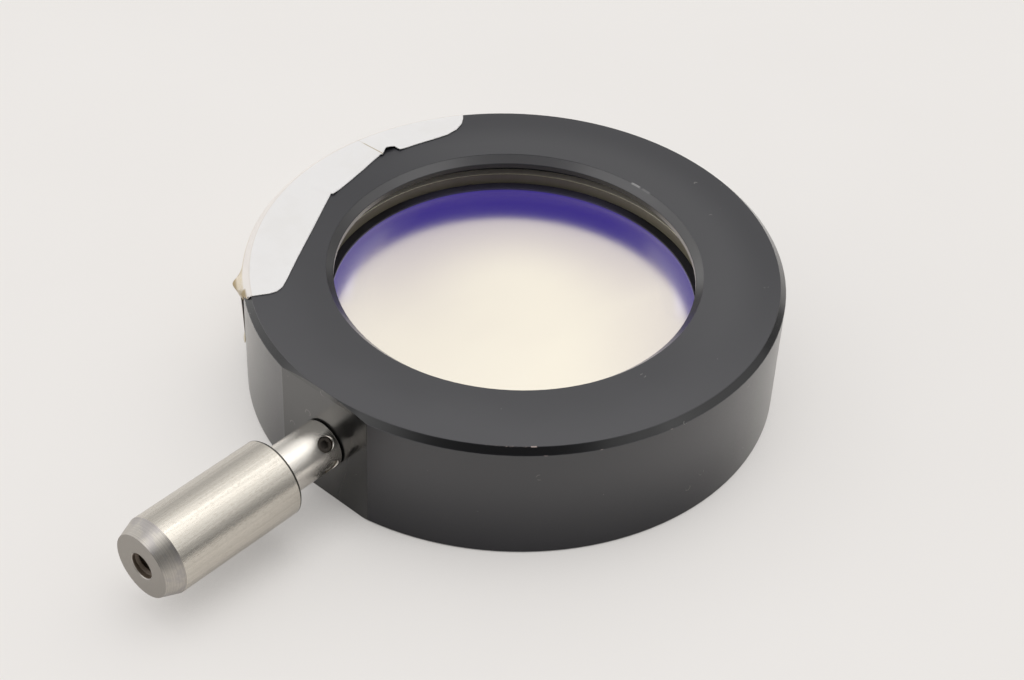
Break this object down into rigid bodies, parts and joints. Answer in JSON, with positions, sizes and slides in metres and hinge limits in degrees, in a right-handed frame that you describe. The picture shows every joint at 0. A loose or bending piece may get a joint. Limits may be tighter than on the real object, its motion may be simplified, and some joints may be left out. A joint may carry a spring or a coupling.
{
  "type": "optical lens mount",
  "caption": "Round black ring mount holding a coated flat optic, with a short steel post set in a flat on its side for clamping in a post holder.",
  "frame": {"origin": "on the optical axis, in the plane of the ring's rear face that it rests on", "axes": "+Z along the optical axis towards the front face with the lip, -Y along the post away from the ring, +X to the right when seen from the front with the post pointing down"},
  "size_m": [0.0871, 0.1221, 0.0213],
  "materials": {
    "black_anodised": "satin black anodised",
    "stop_ring_black": "matte black anodised, threaded",
    "washer_black": "matte",
    "coated_optic": "polished, dichroic coating",
    "turned_steel": "turned stainless steel",
    "stud_steel": "plain steel, threaded",
    "screw_black": "black oxide",
    "label_paper": "white label paper, yellowed at its edges"
  },
  "bodies": {
    "root": {"ring_body": "black_anodised", "front_stop_ring": "stop_ring_black", "front_washer": "washer_black", "optic": "coated_optic", "retaining_ring": "black_anodised", "post": "turned_steel", "joining_stud": "stud_steel", "set_screws": "screw_black", "paper_label": "label_paper"}
  },
  "joints": []
}
